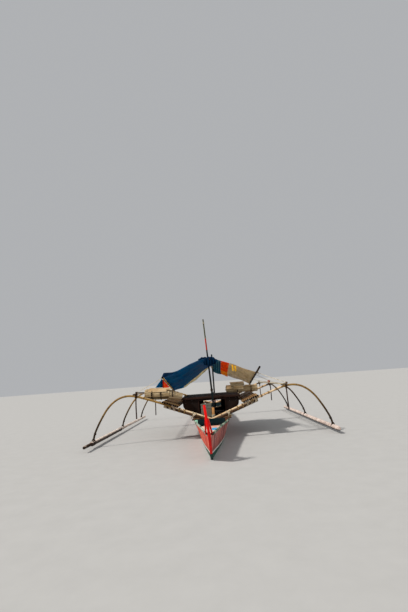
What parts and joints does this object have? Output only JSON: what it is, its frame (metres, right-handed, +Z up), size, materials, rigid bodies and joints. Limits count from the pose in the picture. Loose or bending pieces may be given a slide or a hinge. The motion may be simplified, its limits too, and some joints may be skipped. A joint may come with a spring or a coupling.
{
  "type": "outrigger canoe",
  "caption": "Motorised double-outrigger fishing canoe with bamboo booms and floats, a low deckhouse, a cloth awning on a mast and ridge pole, a shaft propeller and a rudder.",
  "frame": {"origin": "on the waterline, on the centre line, under the middle pair of booms", "axes": "+Z up, -Y towards the bow, +Y towards the stern, +X to port"},
  "size_m": [6.596, 11.92, 3.8959],
  "materials": {
    "topside_paint": "faded, streaked salmon-red paint over planks",
    "bottom_paint": "dark green paint below a white line",
    "rail_paint": "chalky pale green paint",
    "red_paint": "bright red paint",
    "teal_paint": "dark blue-green paint",
    "bamboo": "dried bamboo, pale on top and brown at the nodes",
    "dark_bamboo": "old bamboo and sticks, dark brown",
    "wood": "bare weathered timber",
    "cream_paint": "worn cream paint",
    "deck_paint": "worn pinkish-white paint with a blue patch",
    "float_bamboo": "bleached bamboo with spiral binding",
    "mast_paint": "black-green paint with a red and an olive length at the head",
    "house_wood": "tarred boards",
    "grey_paint": "grey paint",
    "blue_cloth": "deep blue woven tarpaulin",
    "patch_cloth": "teal striped and orange-red cloths sewn together",
    "canvas": "beige canvas",
    "blind_slats": "split bamboo slats tied with dark cord",
    "rope": "thin pale rope",
    "steel": "dull galvanised steel with rust",
    "bronze": "dull bronze",
    "engine_paint": "grey paint and oil"
  },
  "bodies": {
    "hull": {"hull_base_port": "bottom_paint", "hull_base_starboard": "bottom_paint", "topside_port": "topside_paint", "topside_starboard": "topside_paint", "gunwale_port": "rail_paint", "gunwale_starboard": "rail_paint", "stem_post": "red_paint", "bow_deck": "deck_paint", "keel": "bottom_paint", "stern_post": "red_paint", "framing": "wood", "seat_1": "cream_paint", "seat_2": "cream_paint", "seat_3": "cream_paint", "seat_4": "cream_paint", "bitt": "wood", "cross_board_1": "teal_paint", "cross_board_2": "teal_paint", "cross_board_3": "teal_paint", "boom_1_port": "bamboo", "arm_1_port": "bamboo", "boom_1_starboard": "bamboo", "arm_1_starboard": "bamboo", "boom_2_port": "bamboo", "arm_2_port": "bamboo", "boom_2_starboard": "bamboo", "arm_2_starboard": "bamboo", "boom_3_port": "bamboo", "arm_3_port": "bamboo", "boom_3_starboard": "bamboo", "arm_3_starboard": "bamboo", "float_port": "float_bamboo", "float_starboard": "float_bamboo", "knee_rail_port": "dark_bamboo", "knee_rail_starboard": "dark_bamboo", "side_deck_port": "bamboo", "side_deck_starboard": "bamboo", "deck": "wood", "house_front": "house_wood", "house_back": "house_wood", "house_side_port": "house_wood", "house_side_starboard": "house_wood", "house_roof": "house_wood", "locker": "grey_paint", "engine": "engine_paint", "mast": "mast_paint", "awning_post": "mast_paint", "ridge_pole": "bamboo", "eave_pole_port": "dark_bamboo", "eave_pole_starboard": "dark_bamboo", "awning_blue": "blue_cloth", "awning_patch": "patch_cloth", "awning_canvas": "canvas", "rolled_blind_port": "blind_slats", "rolled_blind_starboard": "blind_slats", "guy_port": "rope", "guy_starboard": "rope"},
    "rudder": {"rudder": "steel"},
    "propeller": {"propeller": "bronze"}
  },
  "joints": [
    {"name": "rudder_turn", "type": "hinge", "parent": "hull", "child": "rudder", "pos_m": [0, 5.48, 0.2], "axis": [0, 0, 1], "range_deg": [-35, 35]},
    {"name": "propeller_spin", "type": "hinge", "parent": "hull", "child": "propeller", "pos_m": [0, 4.5, -0.4], "axis": [0, 0.9903, -0.1392], "continuous": true}
  ]
}
